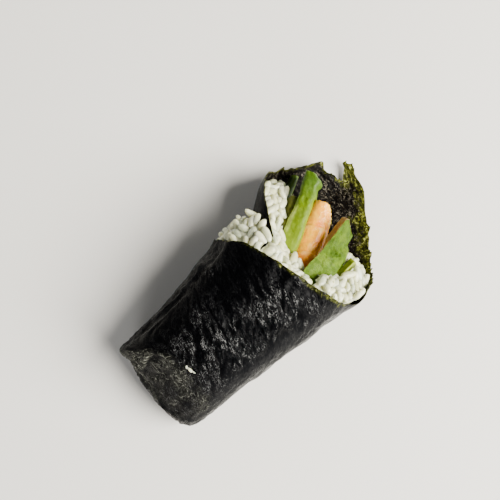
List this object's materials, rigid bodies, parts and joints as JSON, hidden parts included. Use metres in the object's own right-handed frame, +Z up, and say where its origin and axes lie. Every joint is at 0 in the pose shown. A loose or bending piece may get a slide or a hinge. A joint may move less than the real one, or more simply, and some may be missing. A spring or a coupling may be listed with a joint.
{
  "type": "temaki hand roll",
  "caption": "Hand roll lying on its side: a wrinkled dark seaweed sheet folded shut at the back, open at the front on rice, avocado, shrimp and cucumber, with a free flap under the mouth.",
  "frame": {"origin": "centre of the bounding box's bottom face, on the table", "axes": "+X along the roll from the folded end to the open mouth, +Z up, +Y to the left when looking from the folded end to the mouth"},
  "size_m": [0.1228, 0.0622, 0.0426],
  "materials": {
    "nori": "near-black toasted seaweed, finely wrinkled, satin",
    "rice": "moist pearly cooked grains",
    "avocado": "soft cut flesh, yellow-green to leaf green",
    "avocado_dark": "dull olive-brown flesh",
    "shrimp": "cooked shrimp, peach orange with pale bands",
    "cucumber": "olive-green cut stick, moist"
  },
  "bodies": {
    "root": {"nori_sheet": "nori", "rice": "rice", "rice_edge": "rice", "avocado_slice_long": "avocado", "avocado_slice_dark": "avocado_dark", "avocado_slice_wide": "avocado", "shrimp": "shrimp", "cucumber_stick": "cucumber", "cucumber_stick_back": "cucumber"}
  },
  "joints": []
}
